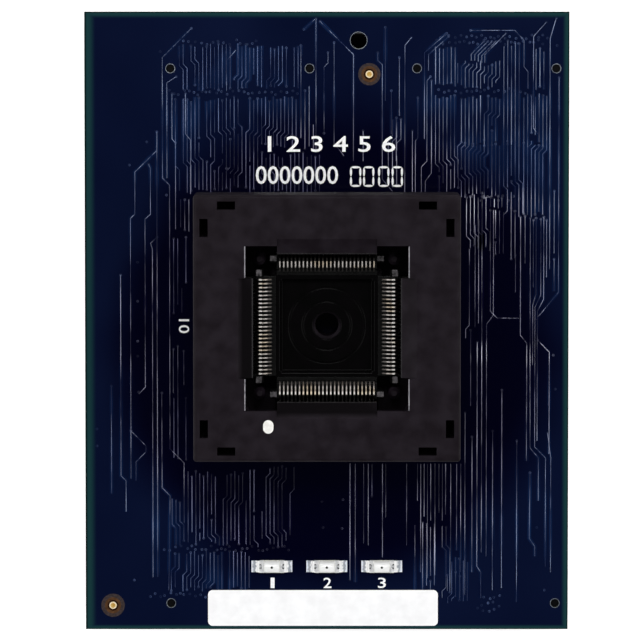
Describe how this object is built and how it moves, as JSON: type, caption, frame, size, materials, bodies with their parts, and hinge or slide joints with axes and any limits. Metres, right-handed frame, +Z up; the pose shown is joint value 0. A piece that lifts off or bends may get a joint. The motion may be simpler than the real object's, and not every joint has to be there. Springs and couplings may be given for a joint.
{
  "type": "ic programming adapter",
  "caption": "Circuit card with an open-top test socket for a square flat chip package, its press-down cover, rows of swinging contacts, status lamps and board connectors.",
  "frame": {"origin": "middle of the board's outline, on the plane of the connector mouths below the board", "axes": "+Z up through the board, out of the socket; +Y along the board's length, towards the end with the locating hole; +X to the right seen from above"},
  "size_m": [0.0624, 0.08, 0.0196],
  "materials": {
    "solder_masked_board": "dark blue solder mask over glass laminate",
    "label_paper": "white label stock",
    "black_plastic": "fine moulded texture",
    "black_insert": "smooth moulded",
    "gold_contact": "gold-plated copper alloy",
    "spring_steel": "drawn spring wire",
    "white_paint": "printed paint dot",
    "solder": "bright solder",
    "connector_plastic": "smooth moulded",
    "lamp_laminate": "white laminate",
    "lamp_epoxy": "milky clear epoxy",
    "tin_plate": "tin plate",
    "capacitor_ceramic": "fired ceramic",
    "resistor_glaze": "black glaze",
    "chip_epoxy": "moulded epoxy"
  },
  "bodies": {
    "card": {"circuit_board": "solder_masked_board", "blank_label": "label_paper", "socket_base": "black_plastic", "nest_plate": "black_insert", "contact_carrier_east": "black_insert", "lead_comb_east": "black_insert", "contact_tails_east": "gold_contact", "contact_carrier_north": "black_insert", "lead_comb_north": "black_insert", "contact_tails_north": "gold_contact", "contact_carrier_west": "black_insert", "lead_comb_west": "black_insert", "contact_tails_west": "gold_contact", "contact_carrier_south": "black_insert", "lead_comb_south": "black_insert", "contact_tails_south": "gold_contact", "cover_springs": "spring_steel", "socket_solder_joints": "solder", "connector_housing_upper_left": "connector_plastic", "connector_terminals_upper_left": "gold_contact", "connector_blade_upper_left": "gold_contact", "connector_housing_upper_right": "connector_plastic", "connector_terminals_upper_right": "gold_contact", "connector_blade_upper_right": "gold_contact", "connector_housing_lower_left": "connector_plastic", "connector_terminals_lower_left": "gold_contact", "connector_blade_lower_left": "gold_contact", "connector_housing_lower_right": "connector_plastic", "connector_terminals_lower_right": "gold_contact", "connector_blade_lower_right": "gold_contact", "lamp_base_left": "lamp_laminate", "lamp_lens_left": "lamp_epoxy", "lamp_terminals_left": "tin_plate", "lamp_base_middle": "lamp_laminate", "lamp_lens_middle": "lamp_epoxy", "lamp_terminals_middle": "tin_plate", "lamp_base_right": "lamp_laminate", "lamp_lens_right": "lamp_epoxy", "lamp_terminals_right": "tin_plate", "lamp_solder_joints": "solder", "capacitor_bodies": "capacitor_ceramic", "capacitor_ends": "tin_plate", "resistor_bodies": "resistor_glaze", "resistor_ends": "tin_plate", "memory_chip_body": "chip_epoxy", "memory_chip_leads": "tin_plate"},
    "cover": {"socket_cover": "black_plastic", "pin_one_dot": "white_paint"},
    "contact_row_east": {"contact_arms_east": "gold_contact"},
    "contact_row_north": {"contact_arms_north": "gold_contact"},
    "contact_row_west": {"contact_arms_west": "gold_contact"},
    "contact_row_south": {"contact_arms_south": "gold_contact"}
  },
  "joints": [
    {"name": "cover_press", "type": "slide", "parent": "card", "child": "cover", "axis": [0, 0, -1], "range_m": [0, 0.0018], "stiffness_N_per_m": 3000, "springref_m": -0.003, "deforming": ["cover_springs"]},
    {"name": "contact_swing_east", "type": "hinge", "parent": "card", "child": "contact_row_east", "pos_m": [0.0086, 0, 0.011], "axis": [0, 1, 0], "range_deg": [0, 15.92]},
    {"name": "contact_swing_north", "type": "hinge", "parent": "card", "child": "contact_row_north", "pos_m": [0, 0.0086, 0.011], "axis": [-1, 0, 0], "range_deg": [0, 15.92]},
    {"name": "contact_swing_west", "type": "hinge", "parent": "card", "child": "contact_row_west", "pos_m": [-0.0086, 0, 0.011], "axis": [0, -1, 0], "range_deg": [0, 15.92]},
    {"name": "contact_swing_south", "type": "hinge", "parent": "card", "child": "contact_row_south", "pos_m": [0, -0.0086, 0.011], "axis": [1, 0, 0], "range_deg": [0, 15.92]}
  ],
  "couplings": [
    {"joint": "contact_swing_east", "follows": "cover_press", "rad_per_m": 154.34},
    {"joint": "contact_swing_north", "follows": "cover_press", "rad_per_m": 154.34},
    {"joint": "contact_swing_west", "follows": "cover_press", "rad_per_m": 154.34},
    {"joint": "contact_swing_south", "follows": "cover_press", "rad_per_m": 154.34}
  ]
}
